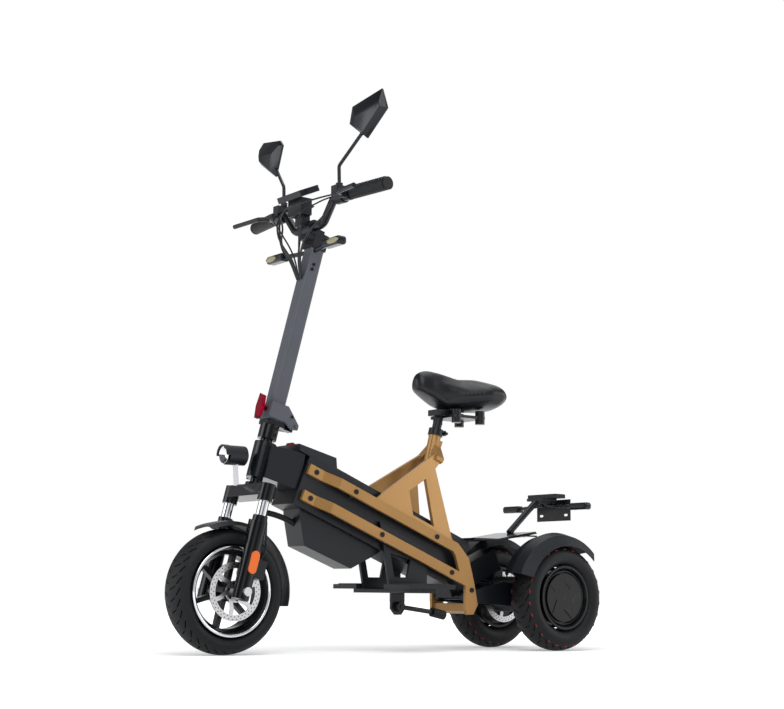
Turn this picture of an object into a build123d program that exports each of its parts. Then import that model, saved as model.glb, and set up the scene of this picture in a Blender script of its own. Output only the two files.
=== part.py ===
from build123d import *
import math
import os

os.makedirs("parts", exist_ok=True)

# Three-wheel electric scooter with a folding stem, a sprung fork, a saddle on
# a bronze frame and two rear wheels. Lengths are millimetres, +X is forward,
# +Y is the rider's left, +Z is up and the floor is z 0. Everything is drawn
# from the front axle's station and moved on export, so that x 0 is the middle
# of the length over the tyres.

WHEELBASE = 964.0
FRONT_TYRE_R = 150.0
REAR_TYRE_R = 141.5
REAR_TRACK = 270.0
SHIFT = (WHEELBASE + REAR_TYRE_R - FRONT_TYRE_R) / 2
REAR_X = -WHEELBASE
FIT = 0.05
GAP = 0.5

# Steering axis, from which the fork, the stem and the bars are placed.
RAKE = 14.8
AXIS_BACK = 12.0
RAKE_SIN = math.sin(math.radians(RAKE))
RAKE_COS = math.cos(math.radians(RAKE))
STEER = Plane(
    origin=(-AXIS_BACK, 0, FRONT_TYRE_R),
    x_dir=(RAKE_COS, 0, RAKE_SIN),
    z_dir=(-RAKE_SIN, 0, RAKE_COS),
)
LEG_X = AXIS_BACK * RAKE_COS
AXLE_H = -AXIS_BACK * RAKE_SIN

# Sloping body: u runs rearward and down along the deck, v is square to it.
SLOPE = 21.7
SLOPE_SIN = math.sin(math.radians(SLOPE))
SLOPE_COS = math.cos(math.radians(SLOPE))
BODY_X = -190.0
BODY_Z = 440.0


def save(name, shape):
    export_step(Pos(SHIFT, 0, 0) * shape, "parts/" + name + ".step")


def steer(x, y, h):
    return STEER.location * Pos(x, y, h)


def steer_point(x, y, h):
    return STEER.from_local_coords((x, y, h))


def mirrored(shape):
    return mirror(shape, about=Plane.XZ)


def both(shape):
    return Compound(children=[*shape.solids(), *mirrored(shape).solids()])


def rounded_face(points, radius):
    face = make_face(Polyline(*points, close=True))
    if radius:
        face = fillet(face.vertices(), radius)
    return face


def side_plate(points, low, high, radius=0):
    """A plate drawn in x and z and standing from y low to y high."""
    plane = Plane(origin=(0, low, 0), x_dir=(-1, 0, 0), z_dir=(0, 1, 0))
    flat = rounded_face([(-x, z) for x, z in points], radius)
    return extrude(plane.location * flat, high - low)


def body_plane(y):
    return Plane(
        origin=(BODY_X, y, BODY_Z),
        x_dir=(-SLOPE_COS, 0, -SLOPE_SIN),
        z_dir=(0, 1, 0),
    )


def body_plate(points, low, high, radius=0):
    """A plate drawn in u and v and standing from y low to y high."""
    flat = rounded_face(points, radius)
    return extrude(body_plane(low).location * flat, high - low)


def body_point(u, v, y=0):
    return Vector(
        BODY_X - u * SLOPE_COS - v * SLOPE_SIN,
        y,
        BODY_Z - u * SLOPE_SIN + v * SLOPE_COS,
    )


def cross_pin(radius, low, high, x, z):
    """A round bar along Y."""
    length = high - low
    return Pos(x, (low + high) / 2, z) * Rot(90, 0, 0) * Cylinder(radius, length)


def bar_between(a, b, radius):
    start = Vector(*a)
    span = Vector(*b) - start
    plane = Plane(origin=start, z_dir=span.normalized())
    return extrude(plane.location * Circle(radius), span.length)


def swept_tube(points, radius, bends):
    path = FilletPolyline(*points, radius=bends)
    start = Plane(origin=path @ 0, z_dir=path % 0)
    return sweep(start.location * Circle(radius), path)


def spun(points, x, z, arc=360.0, start=0.0):
    """A section in radius and y, turned about the Y axis through x and z."""
    plane = Plane(origin=(0, 0, 0), x_dir=(1, 0, 0), z_dir=(0, 0, 1))
    face = plane.location * make_face(Polyline(*points, close=True))
    turned = revolve(face, Axis.Y, arc)
    return Pos(x, 0, z) * Rot(0, start, 0) * turned


# Tyres: a rounded crown, a shoulder and a bead each side, hollow inside.
TYRE_WALL = 9.0


def tyre(outer, half, bead, bead_half, lip):
    """A tyre about the Y axis, open towards the rim, seated inside its lips."""
    crown = (outer, 0)
    shoulder = (outer - 13, half - 13)
    wall = (outer - 32, half)
    seat = (bead, bead_half)
    line = [
        ThreePointArc((shoulder[0], -shoulder[1]), crown, shoulder),
        Line(shoulder, (outer - 20, half - 5)),
        Line((outer - 20, half - 5), wall),
        Line(wall, (lip + 1, bead_half + 3)),
        Line((lip + 1, bead_half + 3), (lip + 1, bead_half)),
        Line((lip + 1, bead_half), seat),
        Line(seat, (bead, bead_half - TYRE_WALL)),
        Line((bead, bead_half - TYRE_WALL), (wall[0], half - TYRE_WALL)),
        Line((wall[0], half - TYRE_WALL), (outer - 20, half - 20)),
        ThreePointArc((outer - 20, half - 20), (outer - 12, 0), (outer - 20, 20 - half)),
        Line((outer - 20, 20 - half), (wall[0], TYRE_WALL - half)),
        Line((wall[0], TYRE_WALL - half), (bead, TYRE_WALL - bead_half)),
        Line((bead, TYRE_WALL - bead_half), (bead, -bead_half)),
        Line((bead, -bead_half), (lip + 1, -bead_half)),
        Line((lip + 1, -bead_half), (lip + 1, -bead_half - 3)),
        Line((lip + 1, -bead_half - 3), (wall[0], -half)),
        Line((wall[0], -half), (outer - 20, 5 - half)),
        Line((outer - 20, 5 - half), (shoulder[0], -shoulder[1])),
    ]
    return revolve(make_face(line), Axis.Y, 360)


FRONT_HALF = 45.0
FRONT_BEAD_R = 103.0
REAR_HALF = 44.0
REAR_BEAD_R = 80.0
BEAD_HALF = 33.0
REAR_Y = REAR_TRACK / 2
FRONT_LIP_R = 109.0
REAR_LIP_R = 85.0

front_tyre = tyre(FRONT_TYRE_R, FRONT_HALF, FRONT_BEAD_R, BEAD_HALF, FRONT_LIP_R)
save("front_tyre", Pos(0, 0, FRONT_TYRE_R) * front_tyre)

rear_tyre = tyre(REAR_TYRE_R, REAR_HALF, REAR_BEAD_R, BEAD_HALF, REAR_LIP_R)
rear_tyre = Pos(REAR_X, REAR_Y, REAR_TYRE_R) * rear_tyre
save("rear_tyre_left", rear_tyre)
save("rear_tyre_right", mirrored(rear_tyre))

# Front wheel: a rim with rolled lips, six flat spokes and a bored hub.
LIP_HALF = 38.0
AXLE_R = 6.0
SPOKES = 6
SPOKE_TURN = 44.0
HUB_R = 24.0
HUB_HALF = 34.0

rim_section = [
    (FRONT_LIP_R, -LIP_HALF),
    (FRONT_LIP_R, -BEAD_HALF),
    (FRONT_BEAD_R, -BEAD_HALF),
    (FRONT_BEAD_R - 1, -22),
    (FRONT_BEAD_R - 9, -16),
    (FRONT_BEAD_R - 9, 16),
    (FRONT_BEAD_R - 1, 22),
    (FRONT_BEAD_R, BEAD_HALF),
    (FRONT_LIP_R, BEAD_HALF),
    (FRONT_LIP_R, LIP_HALF),
    (FRONT_LIP_R - 5, LIP_HALF),
    (FRONT_LIP_R - 12, LIP_HALF - 7),
    (FRONT_BEAD_R - 15, 18),
    (FRONT_BEAD_R - 15, -18),
    (FRONT_LIP_R - 12, 7 - LIP_HALF),
    (FRONT_LIP_R - 5, -LIP_HALF),
]
rim_ring = spun(rim_section, 0, 0)
hub = Rot(90, 0, 0) * Cylinder(HUB_R, 2 * HUB_HALF)
front_rim = rim_ring + hub
spoke_reach = FRONT_BEAD_R - 12
spoke_profile = [(0, -11), (spoke_reach, -8), (spoke_reach, 8), (0, 11)]
spoke = extrude(Plane.XY.offset(-6).location * make_face(Polyline(*spoke_profile, close=True)), 12)
for number in range(SPOKES):
    turn = SPOKE_TURN + number * 360 / SPOKES
    front_rim = front_rim + Rot(0, -turn, 0) * spoke
front_rim = front_rim - Rot(90, 0, 0) * Cylinder(AXLE_R + FIT, 4 * HUB_HALF)
save("front_rim", Pos(0, 0, FRONT_TYRE_R) * front_rim)

# Brake discs: a flat ring on curved arms round a bolted carrier.
DISC_R = 70.0
DISC_BAND = 15.0
DISC_THICK = 3.0
DISC_ARMS = 6


def brake_disc(bore):
    """A disc about the Y axis, centred on y 0."""
    flat = Circle(DISC_R) - Circle(DISC_R - DISC_BAND)
    carrier = Circle(26) - Circle(bore)
    arm = make_face(
        [
            Line((22, -5), (40, -20)),
            Line((40, -20), (57, -24)),
            Line((57, -24), (57, -14)),
            Line((57, -14), (42, -9)),
            Line((42, -9), (22, 6)),
            Line((22, 6), (22, -5)),
        ]
    )
    face = flat + carrier
    for number in range(DISC_ARMS):
        face = face + Rot(0, 0, number * 360 / DISC_ARMS) * arm
    face = face - Circle(bore)
    return Rot(90, 0, 0) * Pos(0, 0, -DISC_THICK / 2) * extrude(face, DISC_THICK)


FRONT_DISC_Y = 50.0
disc_boss = cross_pin(20, HUB_HALF, FRONT_DISC_Y - DISC_THICK / 2, 0, FRONT_TYRE_R)
disc_boss = disc_boss - cross_pin(AXLE_R + FIT, 0, 80, 0, FRONT_TYRE_R)
front_disc = Pos(0, FRONT_DISC_Y, FRONT_TYRE_R) * brake_disc(AXLE_R + FIT)
save("front_disc", disc_boss + front_disc)

# Fork: lower legs, bright stanchions and a crown with the steerer.
LEG_Y = 80.0
LEG_R = 21.0
LEG_LOW = -22.0
LEG_TOP = 168.0
STANCHION_R = 13.0
SOCKET_LOW = 219.0
SOCKET_R = 18.5
CROWN_TOP = 262.0
STEERER_R = 15.0
HEAD_LOW = 284.0
HEAD_TOP = 376.0
COLLAR_LOW = 386.0

leg = steer(LEG_X, LEG_Y, (LEG_LOW + LEG_TOP) / 2) * Cylinder(LEG_R, LEG_TOP - LEG_LOW)
leg_cap = steer(LEG_X, LEG_Y, LEG_TOP + 7) * Cylinder(LEG_R - 3, 14)
leg_cap = leg_cap - steer(LEG_X, LEG_Y, LEG_TOP + 7) * Cylinder(STANCHION_R, 40)
leg = leg + leg_cap
leg = leg - steer(LEG_X, LEG_Y, LEG_TOP) * Cylinder(STANCHION_R, 80)
leg = leg - cross_pin(AXLE_R, 0, 200, 0, FRONT_TYRE_R)
save("fork_legs", both(leg))

stanchion_low = LEG_TOP - 40
stanchion_top = SOCKET_LOW + 6
stanchion = steer(LEG_X, LEG_Y, (stanchion_low + stanchion_top) / 2) * Cylinder(
    STANCHION_R, stanchion_top - stanchion_low
)
save("stanchions", both(stanchion))

socket = steer(LEG_X, LEG_Y, (SOCKET_LOW + CROWN_TOP) / 2) * Cylinder(
    SOCKET_R, CROWN_TOP - SOCKET_LOW
)
socket = socket - steer(LEG_X, LEG_Y, SOCKET_LOW) * Cylinder(STANCHION_R, 12)
bridge = steer(LEG_X - 6, 0, CROWN_TOP - 15) * Box(44, 2 * LEG_Y, 30)
arch_points = [(LEG_Y, SOCKET_LOW + 10), (0, SOCKET_LOW + 28), (-LEG_Y, SOCKET_LOW + 10)]
crown = both(socket)
crown_solid = socket + mirrored(socket) + bridge
steerer_top = COLLAR_LOW + 36
steerer = steer(0, 0, (CROWN_TOP + steerer_top) / 2) * Cylinder(
    STEERER_R, steerer_top - CROWN_TOP
)
crown_race = steer(0, 0, CROWN_TOP + 4) * Cylinder(25, 8)
crown_solid = crown_solid + steerer + crown_race
save("fork_crown", crown_solid)

axle_half = LEG_Y + LEG_R
front_axle = cross_pin(AXLE_R, -axle_half, axle_half, 0, FRONT_TYRE_R)
for side in (-1, 1):
    nut = cross_pin(10.5, 0, 8, 0, FRONT_TYRE_R)
    shift = axle_half if side > 0 else -axle_half - 8
    front_axle = front_axle + Pos(0, shift, 0) * nut
    inner = HUB_HALF + GAP if side < 0 else FRONT_DISC_Y + DISC_THICK / 2 + GAP
    spacer = cross_pin(10, inner, LEG_Y - LEG_R + 1, 0, FRONT_TYRE_R)
    front_axle = front_axle + (spacer if side > 0 else mirrored(spacer))
save("front_axle", front_axle - leg - mirrored(leg))

# Front caliper, behind the left leg over the disc.
caliper = steer(-30, FRONT_DISC_Y, 62) * Box(34, 26, 40)
caliper = caliper - steer(-20, FRONT_DISC_Y, 50) * Box(80, DISC_THICK + 4, 80)
caliper_arm = steer(-22, FRONT_DISC_Y + 17, 62) * Box(44, 9, 46)
caliper_solid = caliper + caliper_arm
caliper_solid = caliper_solid - leg
save("front_caliper", caliper_solid)

# Front mudguard, an arched strip round the tyre, on two tabs to the legs.
GUARD_R = 166.0
GUARD_THICK = 3.0
guard_section = [
    (GUARD_R, 0),
    (GUARD_R - 2, 30),
    (GUARD_R - 9, 43),
    (GUARD_R - 9, 46),
    (GUARD_R + 1, 33),
    (GUARD_R + GUARD_THICK, 0),
]
guard_full = [*guard_section, *[(r, -y) for r, y in guard_section[::-1][1:-1]]]
front_guard = spun(guard_full, 0, FRONT_TYRE_R, 125, -192)
tab = steer(LEG_X, LEG_Y - LEG_R - 8, 150) * Box(14, 18, 14)
tab = tab + steer(LEG_X, LEG_Y - LEG_R - 15, 160) * Box(14, 4, 30)
save("front_mudguard", front_guard + (tab - leg) + mirrored(tab - leg))

# Headlight on a bent bracket in front of the crown.
LAMP_X = -48.0
LAMP_Z = 478.0
lamp = Pos(LAMP_X + 28, 0, LAMP_Z) * Rot(0, 90, 0) * Cylinder(24, 50)
lamp = lamp + Pos(LAMP_X + 4, 0, LAMP_Z) * Rot(0, 90, 0) * Cylinder(18, 10)
hood = Pos(LAMP_X + 58, 0, LAMP_Z) * Rot(0, 90, 0) * (Cylinder(25, 14) - Cylinder(22, 20))
hood = hood - Pos(LAMP_X + 60, 0, LAMP_Z - 30) * Box(30, 60, 56)
lamp = lamp + hood
lens_seat = Pos(LAMP_X + 51, 0, LAMP_Z) * Rot(0, 90, 0) * Cylinder(21, 6)
lamp = lamp - lens_seat
save("headlight", lamp)
strap = side_plate(
    [(-56, 402), (-56, 407), (-28, 409), (-24, 458), (-20, 458), (-24, 405)],
    -9,
    9,
)
save("headlight_bracket", strap - lamp - crown_solid)

# Side reflectors on the lower legs.
pill = Pos(0, 0, 0) * Rot(90, 0, 0) * extrude(SlotOverall(55, 22, rotation=90), 4)
pill = steer(LEG_X, LEG_Y + LEG_R + 3.4, 68) * pill
save("fork_reflectors", both(pill - leg))

# Collar and lower half of the stem hinge, fixed on the steerer.
collar = steer(0, 0, COLLAR_LOW + 19) * Cylinder(24, 38)
collar = collar - steer(0, 0, COLLAR_LOW + 18) * Cylinder(STEERER_R, 36)
HINGE_H = 432.0
HINGE_X = -54.0
hinge_block = steer(-4, 0, COLLAR_LOW + 42) * Box(48, 46, 12)
pin_point = steer_point(HINGE_X, 0, HINGE_H + 4)
hinge_tongue = steer(HINGE_X + 10, 0, HINGE_H - 2) * Box(34, 20, 12)
hinge_tongue = hinge_tongue + cross_pin(8, -10, 10, pin_point.X, pin_point.Z)
lower_hinge = collar + hinge_block + hinge_tongue
lower_hinge = lower_hinge - cross_pin(4 + FIT, -20, 20, pin_point.X, pin_point.Z)
save("stem_collar", lower_hinge)

# Folding stem: hinge cheeks, a square tube and a capped head.
SEAM_H = HINGE_H + 2.5
STEM_LOW = 474.0
STEM_TOP = 902.0
STEM_X = 38.0
STEM_Y = 42.0
cheek_points = [(-26, SEAM_H), (26, SEAM_H), (26, STEM_LOW), (-20, STEM_LOW), (-36, SEAM_H + 22)]
steer_side = Plane(
    origin=steer_point(0, -STEM_Y / 2 - 5, 0),
    x_dir=(RAKE_COS, 0, RAKE_SIN),
    z_dir=(0, -1, 0),
)
hinge_head = steer(0, 0, (SEAM_H + STEM_LOW) / 2) * Box(46, STEM_Y + 2, STEM_LOW - SEAM_H)
ear_points = [
    (26, STEM_LOW + 2),
    (-22, STEM_LOW + 4),
    (HINGE_X - 9, HINGE_H + 9),
    (HINGE_X - 9, HINGE_H - 3),
    (HINGE_X + 6, HINGE_H - 6),
    (-22, SEAM_H + 2),
    (26, SEAM_H + 2),
]
ear_face = make_face(Polyline(*ear_points, close=True))
ear_plane = Plane(
    origin=steer_point(0, 30, 0), x_dir=(RAKE_COS, 0, RAKE_SIN), z_dir=(0, -1, 0)
)
ear = extrude(ear_plane.location * ear_face, 9)
upper_hinge = hinge_head + ear + mirrored(ear)
upper_hinge = upper_hinge + cross_pin(4, -34, 34, pin_point.X, pin_point.Z)
save("stem_hinge", upper_hinge)

stem_face = fillet(Rectangle(STEM_X, STEM_Y).vertices(), 6)
stem_bore = fillet(Rectangle(STEM_X - 8, STEM_Y - 8).vertices(), 3)
stem = extrude(steer(0, 0, STEM_LOW) * (stem_face - stem_bore), STEM_TOP - STEM_LOW)
save("stem_tube", stem)

# Red locking wing on the front of the hinge.
wing_pin = steer(30, 0, STEM_LOW - 14) * Rot(0, 90, 0) * Cylinder(6, 14)
wing = extrude(
    steer(36, 0, STEM_LOW - 14)
    * Rot(0, 90, 0)
    * make_face(Polyline((-34, -7), (-28, 9), (0, 13), (26, 9), (32, -6), (0, -12), close=True)),
    11,
)
save("clamp_knob", wing_pin + wing - hinge_head)

# Head cap and the clamp that holds the bars ahead of the stem.
BAR_X = 29.0
BAR_H = 953.0
BAR_R = 11.0
cap_low = STEM_TOP
cap = steer(0, 0, cap_low + 22) * Box(STEM_X + 4, STEM_Y + 4, 44)
cap = cap + steer(16, 0, BAR_H - 16) * Box(44, STEM_Y, 34)
bar_point = steer_point(BAR_X, 0, BAR_H)
clamp_ring = cross_pin(19, -24, 24, bar_point.X, bar_point.Z)
head = cap + clamp_ring
head = head - cross_pin(BAR_R, -60, 60, bar_point.X, bar_point.Z)

# Handlebar, rising at each side and swept back to the grips.
BAR_RISE = 1140.0
bar_path = [
    (bar_point.X, 0, bar_point.Z),
    (bar_point.X, 62, bar_point.Z),
    (-226, 112, BAR_RISE - 2),
    (-252, 298, BAR_RISE),
]
half_bar = swept_tube(bar_path, BAR_R, 28)
save("handlebar", half_bar + mirrored(half_bar))

GRIP_R = 16.5


def on_bar(y):
    """Centre of the bar's straight outer run at a given y."""
    share = (y - 112) / (298 - 112)
    return Vector(-226 - 26 * share, y, BAR_RISE - 2 + 2 * share)


def bar_sleeve(low, high, radius):
    a = on_bar(low)
    b = on_bar(high)
    plane = Plane(origin=a, z_dir=(b - a).normalized())
    ring = Circle(radius) - Circle(BAR_R)
    return extrude(plane.location * ring, (b - a).length)


grip = bar_sleeve(178, 296, GRIP_R)
grip_end = bar_between(on_bar(298.4), on_bar(303), GRIP_R)
save("grips", both(grip + grip_end))

# Brake levers, each a clamp, a perch and a blade ahead of the grip.
perch = bar_between(on_bar(150), on_bar(172), 17)
lever_base = Pos(-226, 161, BAR_RISE - 4) * Box(34, 20, 20)
lever_turn = (-186, 184, BAR_RISE - 8)
blade = bar_between((-214, 161, BAR_RISE - 6), lever_turn, 6)
blade = blade + bar_between(lever_turn, (-168, 276, BAR_RISE - 14), 6) + Pos(*lever_turn) * Sphere(6)
lever = perch + lever_base + blade - bar_between(on_bar(120), on_bar(200), BAR_R)
save("brake_levers", both(lever))

# Switch pods inside the levers.
pod = bar_between(on_bar(123), on_bar(148), 20)
pod_box = Pos(-226, 134, BAR_RISE + 12) * Box(36, 24, 22)
save("switch_pods", both(pod + pod_box - bar_between(on_bar(100), on_bar(170), BAR_R)))

# Display and its bracket above the clamp.
display = Pos(-190, 0, 1163) * Rot(0, 24, 0) * Box(62, 104, 16)
save("display", display)
holder = Pos(-196, 0, 1128) * Box(34, 60, 44)
holder = holder + Pos(-205, 0, 1100) * Box(26, 30, 40)
holder = holder - display - half_bar - mirrored(half_bar)
save("bar_clamp", head + holder)

# Mirrors on bent arms.
MIRROR_YAW = 6.9
MIRROR_THICK = 14.0
yaw_sin = math.sin(math.radians(MIRROR_YAW))
yaw_cos = math.cos(math.radians(MIRROR_YAW))


def mirror_shell(corners, centre, side, depth, inset):
    """A kite in distances outward and up, standing square to the rider's view."""
    plane = Plane(
        origin=centre,
        x_dir=(yaw_sin, -side * yaw_cos, 0),
        z_dir=(yaw_cos, side * yaw_sin, 0),
    )
    flip = -1 if plane.y_dir.Z < 0 else 1
    flat = make_face(Polyline(*[(-w, flip * z) for w, z in corners], close=True))
    flat = fillet(flat.vertices(), 10)
    if inset:
        flat = offset(flat, -inset)
    return extrude(plane.location * flat, depth)


left_kite = [(-64, -12), (-54, 32), (55, 55), (74, 0), (2, -63)]
right_kite = [(-60, 5), (-44, 22), (60, 42), (79, 25), (70, -20), (-22, -75)]
left_spot = Vector(-262, 205, 1340)
right_spot = Vector(-262, -228, 1342)
left_shell = mirror_shell(left_kite, left_spot, 1, MIRROR_THICK, 0)
right_shell = mirror_shell(right_kite, right_spot, -1, MIRROR_THICK, 0)
left_glass = mirror_shell(left_kite, left_spot, 1, 2, 5)
right_glass = mirror_shell(right_kite, right_spot, -1, 2, 5)
left_shell = left_shell - left_glass
right_shell = right_shell - right_glass
save("mirror_shells", Compound(children=[*left_shell.solids(), *right_shell.solids()]))
save("mirror_glasses", Compound(children=[*left_glass.solids(), *right_glass.solids()]))
left_arm = swept_tube([(-230, 127, 1166), (-228, 127, 1218), (-254, 204, 1304)], 4.5, 14)
right_arm = swept_tube([(-230, -127, 1166), (-228, -127, 1218), (-254, -218, 1304)], 4.5, 14)
left_stub = Pos(-230, 127, 1168) * Cylinder(9, 10)
left_arm = left_arm + left_stub - left_shell
right_arm = right_arm + mirrored(left_stub) - right_shell
save("mirror_arms", Compound(children=[*left_arm.solids(), *right_arm.solids()]))

# Front turn signals, on stalks each side of the stem.
signal_stalk = bar_between((-232, 21, 1018), (-218, 90, 1018), 6)
signal_body = Pos(-215, 128, 1018) * Box(30, 76, 22)
signal_body = fillet(signal_body.edges(), 8)
stem_solid = extrude(steer(0, 0, STEM_LOW) * stem_face, STEM_TOP - STEM_LOW)
save("front_signals", both((signal_stalk + signal_body) - cap - stem_solid))

# Neck: the box that carries the head tube, ahead of the deck.
deck_points = [(0, 49), (560, 49), (560, 10), (520, -80), (0, -80)]
deck = body_plate(deck_points, -50, 50)
neck = side_plate([(-62, 412), (-68, 510), (-200, 492), (-184, 401)], -42, 42)
neck_tube = steer(0, 0, (HEAD_LOW + HEAD_TOP) / 2) * Cylinder(27.5, HEAD_TOP - HEAD_LOW)
trim = steer(60, 0, 330) * Box(120, 200, 300)
neck = neck - steer(60 + 5, 0, 330) * Box(120, 200, 300)
neck = neck + neck_tube
neck = neck - steer(0, 0, 330) * Cylinder(STEERER_R + FIT, 300)
neck = neck - deck
neck = neck - steer(0, 0, (HEAD_LOW + CROWN_TOP) / 2 - 20) * Box(400, 400, HEAD_LOW - CROWN_TOP + 40)
save("neck", neck)

# Deck lid with the raised charger hump at its front.
lid_points = [
    (-30, 49),
    (-40, 64),
    (76, 79),
    (88, 56),
    (556, 56),
    (556, 49),
]
lid = body_plate(lid_points, -48, 48)
save("deck_lid", lid - neck)

belly_points = [(30, -80), (40, -100), (79, -159), (231, -156), (281, -103), (300, -80)]
belly = body_plate(belly_points, -37, 37)
save("belly_case", belly)

# Bronze rails: two flat bars a side, joined by a loop at the rear.
RAIL_OUT = 76.0
RAIL_IN = 66.0
BAR_TALL = 26.0
loop_points = [
    (95, 29),
    (502, 29),
    (552, 6),
    (593, -47),
    (625, -95),
    (620, -124),
    (601, -132),
    (592, -124),
    (568, -64),
    (95, -64),
    (95, -38),
    (534, -38),
    (508, -6),
    (495, 3),
    (95, 3),
]
rail = body_plate(loop_points, RAIL_IN, RAIL_OUT)
for start, v in ((5, 3), (13, -64)):
    plan = make_face(
        Polyline(
            (start, 50),
            (start, 60),
            (50, 60),
            (96, RAIL_OUT),
            (96, RAIL_IN),
            (50, 50),
            close=True,
        )
    )
    plan_plane = Plane(
        origin=body_point(0, v), x_dir=(-SLOPE_COS, 0, -SLOPE_SIN), z_dir=(SLOPE_SIN, 0, -SLOPE_COS)
    )
    tip = extrude(plan_plane.location * plan, -BAR_TALL)
    rail = rail + tip
loop_bar = body_plate([(592, -104), (618, -104), (616, -124), (598, -124)], -RAIL_IN, RAIL_IN)
save("side_rails", rail + mirrored(rail) + loop_bar)

spacers = []
for u, v in ((146, 10), (265, -44), (511, -44), (430, 16)):
    spot = body_point(u, v)
    spacers.append(cross_pin(10, 50, RAIL_IN, spot.X, spot.Z))
    spacers.append(cross_pin(10, -RAIL_IN, -50, spot.X, spot.Z))
for spacer in spacers:
    deck = deck + spacer
save("deck_box", deck)

# Bronze saddle frame: two leaning side plates that meet in a post socket.
FRAME_THICK = 10.0
LEAN = 9.1
POST_LEAN = 14.3
POST_R = 12.5
post_axis = Vector(-math.sin(math.radians(POST_LEAN)), 0, math.cos(math.radians(POST_LEAN)))
SOCKET_TOP = Vector(-648, 0, 570)
lean_sin = math.sin(math.radians(LEAN))
lean_cos = math.cos(math.radians(LEAN))
side_up = Vector(-SLOPE_SIN * lean_cos, -lean_sin, SLOPE_COS * lean_cos)
side_along = Vector(-SLOPE_COS, 0, -SLOPE_SIN)
frame_plane = Plane(
    origin=body_point(0, 30, RAIL_OUT - 6),
    x_dir=side_along,
    z_dir=side_along.cross(side_up),
)
frame_outer = [(214, -24), (216, 1), (374, 209), (398, 201), (381, 163), (480, 8), (508, -24)]
frame_window = [(312, 66), (345, 106), (357, 122), (416, 9), (341, 9)]
frame_face = make_face(Polyline(*frame_outer, close=True))
frame_face = frame_face - make_face(Polyline(*frame_window, close=True))
side_frame = extrude(frame_plane.location * frame_face, -FRAME_THICK)
yoke_plane = Plane(origin=body_point(373, 0), x_dir=(0, 1, 0), z_dir=-side_along)
yoke_half = [(34, 212), (45, 216), (47, 226), (16, 262), (16, 280), (0, 280), (0, 250)]
yoke = extrude(yoke_plane.location * make_face(Polyline(*yoke_half, close=True)), -24)
socket_low = SOCKET_TOP - post_axis * 75
post_socket = bar_between(socket_low, SOCKET_TOP, 15.5 + 1)
frame_half = side_frame + yoke
frame_all = frame_half + mirrored(frame_half) + post_socket
frame_all = frame_all - bar_between(SOCKET_TOP - post_axis * 160, SOCKET_TOP + post_axis * 5, POST_R + FIT)
save("saddle_frame", frame_all - rail - mirrored(rail) - deck)

clamp = bar_between(SOCKET_TOP + post_axis * 0.0, SOCKET_TOP + post_axis * 18, 20)
clamp = clamp - bar_between(SOCKET_TOP - post_axis * 5, SOCKET_TOP + post_axis * 30, POST_R + FIT)
clamp_bolt = cross_pin(4, -22, 22, SOCKET_TOP.X - 24, SOCKET_TOP.Z + 6)
clamp_lug = Pos(SOCKET_TOP.X - 23, 0, SOCKET_TOP.Z + 8) * Box(16, 20, 14)
save("post_clamp", clamp + (clamp_lug - bar_between(SOCKET_TOP, SOCKET_TOP + post_axis * 30, POST_R + 2)) + clamp_bolt)

# Saddle post, spring carrier and saddle.
post_top = SOCKET_TOP + post_axis * 62
post_low = SOCKET_TOP - post_axis * 120
save("saddle_post", bar_between(post_low, post_top, POST_R))

saddle_carrier = Pos(post_top.X - 8, 0, post_top.Z + 3) * Box(60, 44, 16)
for x, y in ((-770, 44), (-770, -44), (-690, 40), (-690, -40)):
    top = Vector(x, y, 642.3)
    low = Vector(x, y, 606)
    saddle_carrier = saddle_carrier + bar_between(low, top, 13)
saddle_carrier = saddle_carrier + Pos(-728, 0, 624) * Box(110, 100, 8)
saddle_carrier = saddle_carrier - bar_between(post_low, post_top, POST_R)
save("saddle_springs", saddle_carrier)

saddle_side = [
    (-572, 702),
    (-580, 735),
    (-618, 747),
    (-680, 733),
    (-740, 721),
    (-838, 722),
    (-866, 700),
    (-866, 660),
    (-830, 642),
    (-660, 644),
    (-620, 664),
]
saddle_body = side_plate(saddle_side, -120, 120)
saddle_top = make_face(
    Polyline(
        (-570, -26),
        (-640, -46),
        (-700, -86),
        (-760, -118),
        (-840, -118),
        (-868, -70),
        (-868, 70),
        (-840, 118),
        (-760, 118),
        (-700, 86),
        (-640, 46),
        (-570, 26),
        close=True,
    )
)
saddle_body = saddle_body & extrude(Pos(0, 0, 600) * fillet(saddle_top.vertices(), 14), 200)
save("saddle", saddle_body - saddle_carrier - bar_between(post_low, post_top, POST_R))

# Foot boards either side, on pierced brackets below the deck.
BOARD_TOP = 172.0
board = Pos(-510, 112, BOARD_TOP - 6) * Box(150, 104, 12)
studs = [
    Pos(x, y, BOARD_TOP - 20) * Cylinder(4, 16) for x in (-560, -510, -460) for y in (80, 140)
]
save("footboards", both(board))
hanger = side_plate(
    [(-420, 330), (-452, 172), (-452, 160), (-575, 160), (-575, 250), (-560, 270)], 52, 60
)
hanger_hole = side_plate([(-455, 250), (-468, 190), (-510, 190), (-520, 235)], 40, 70)
hanger = hanger - hanger_hole
hanger = hanger - deck - belly - rail
under_bar = Pos(-512, 0, 155) * Box(40, 2 * 150, 10)
hangers = hanger + mirrored(hanger) + under_bar
hangers = hangers - board - mirrored(board)

# Kickstand, folded rearward, on a round plate under the left board.
STAND_X = -474.0
STAND_Z = 116.0
stand_plate = side_plate([(-452, 150), (-452, 110), (-466, 95), (-484, 95), (-494, 108), (-494, 150)], 62, 70)
stand_plate = stand_plate - under_bar
stand_pin = cross_pin(5, 70, 86, STAND_X, STAND_Z)
save("board_hangers", hangers + stand_plate + stand_pin)
stand_rod = bar_between((STAND_X - 9, 79, STAND_Z - 2), (-578, 79, 102), 6)
stand_eye = cross_pin(12, 72, 84, STAND_X, STAND_Z)
stand = (stand_rod + stand_eye) - cross_pin(5 + FIT, 60, 90, STAND_X, STAND_Z)
save("kickstand", stand)
stand_foot = bar_between((-576, 79, 102.3), (-616, 79, 94), 12)
save("kickstand_foot", stand_foot - stand_rod)

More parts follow.
